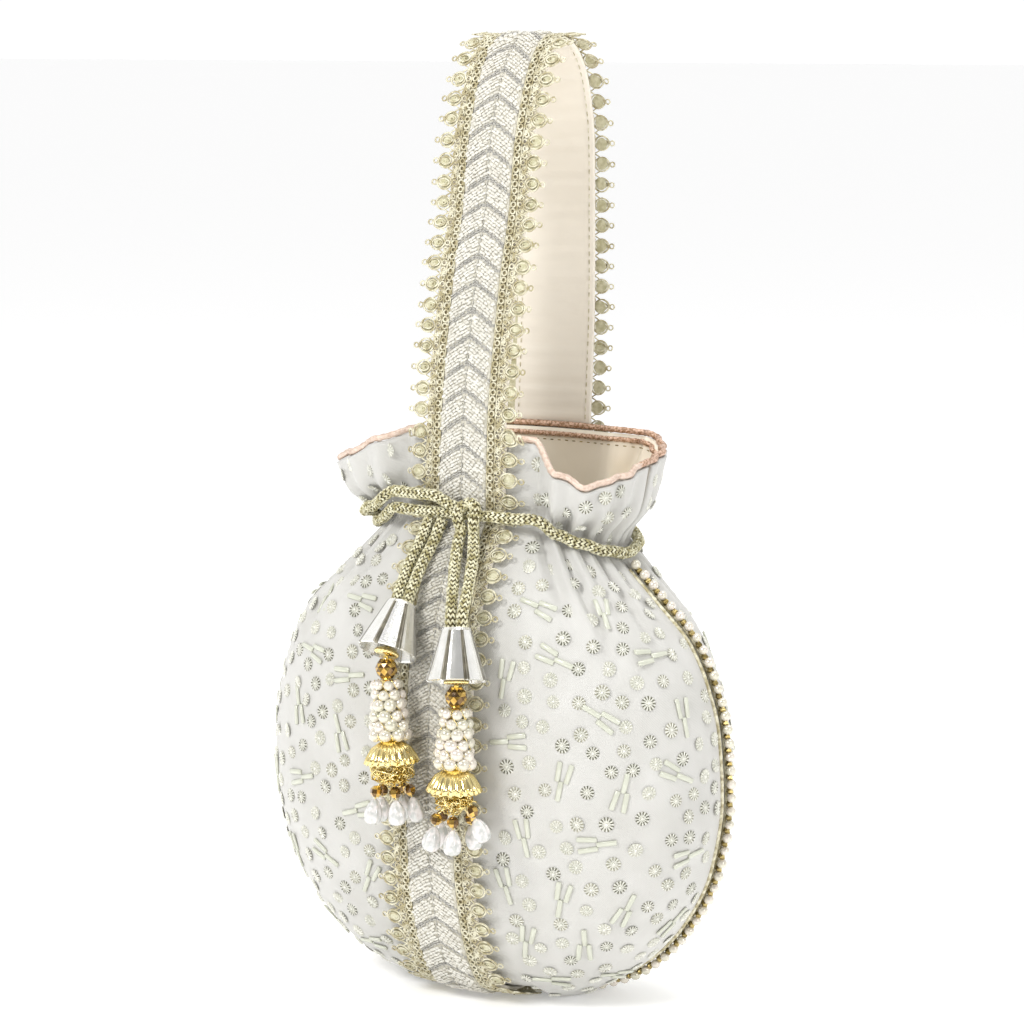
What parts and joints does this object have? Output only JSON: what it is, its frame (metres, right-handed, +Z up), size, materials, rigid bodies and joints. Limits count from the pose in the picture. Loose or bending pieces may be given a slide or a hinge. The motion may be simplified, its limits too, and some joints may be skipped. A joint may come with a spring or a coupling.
{
  "type": "reticule",
  "caption": "Small round ivory evening bag gathered at the neck by a knitted drawstring, with a broad braid and lace wrist handle and two beaded tassels.",
  "frame": {"origin": "on the surface that the bag stands on, under the middle of the strap where the braid rests", "axes": "+Z up, front with the knot and tassels towards -Y, +X to the right as seen from the front"},
  "size_m": [0.2059, 0.1386, 0.3818],
  "materials": {
    "embroidered_silk": "satin",
    "satin": "satin",
    "copper_piping": "satin",
    "pearl": "gloss",
    "knit": "matte",
    "lace": "matte",
    "cord": "satin",
    "silver": "polished",
    "gold": "polished",
    "amber_glass": "gloss"
  },
  "bodies": {
    "root": {"front_panel": "embroidered_silk", "back_panel": "embroidered_silk", "mouth_lining": "satin", "mouth_piping": "copper_piping", "seam_pearls": "pearl", "strap_cloth": "satin", "chevron_braid": "knit", "lace_left": "lace", "lace_right": "lace", "drawstring": "cord", "drawstring_double": "cord", "drawstring_knot": "cord", "cone_left": "silver", "cone_ring_left": "gold", "facet_bead_left": "amber_glass", "pearl_cluster_left": "pearl", "cap_left": "gold", "wire_ball_left": "gold", "bead_left_1": "amber_glass", "drop_left_1": "pearl", "bead_left_2": "amber_glass", "drop_left_2": "pearl", "bead_left_3": "amber_glass", "drop_left_3": "pearl", "bead_left_4": "amber_glass", "drop_left_4": "pearl", "bead_left_5": "amber_glass", "drop_left_5": "pearl", "cord_tail_left_1": "cord", "cord_tail_left_2": "cord", "cone_right": "silver", "cone_ring_right": "gold", "facet_bead_right": "amber_glass", "pearl_cluster_right": "pearl", "cap_right": "gold", "wire_ball_right": "gold", "bead_right_1": "amber_glass", "drop_right_1": "pearl", "bead_right_2": "amber_glass", "drop_right_2": "pearl", "bead_right_3": "amber_glass", "drop_right_3": "pearl", "bead_right_4": "amber_glass", "drop_right_4": "pearl", "bead_right_5": "amber_glass", "drop_right_5": "pearl", "cord_tail_right_1": "cord", "cord_tail_right_2": "cord"}
  },
  "joints": []
}
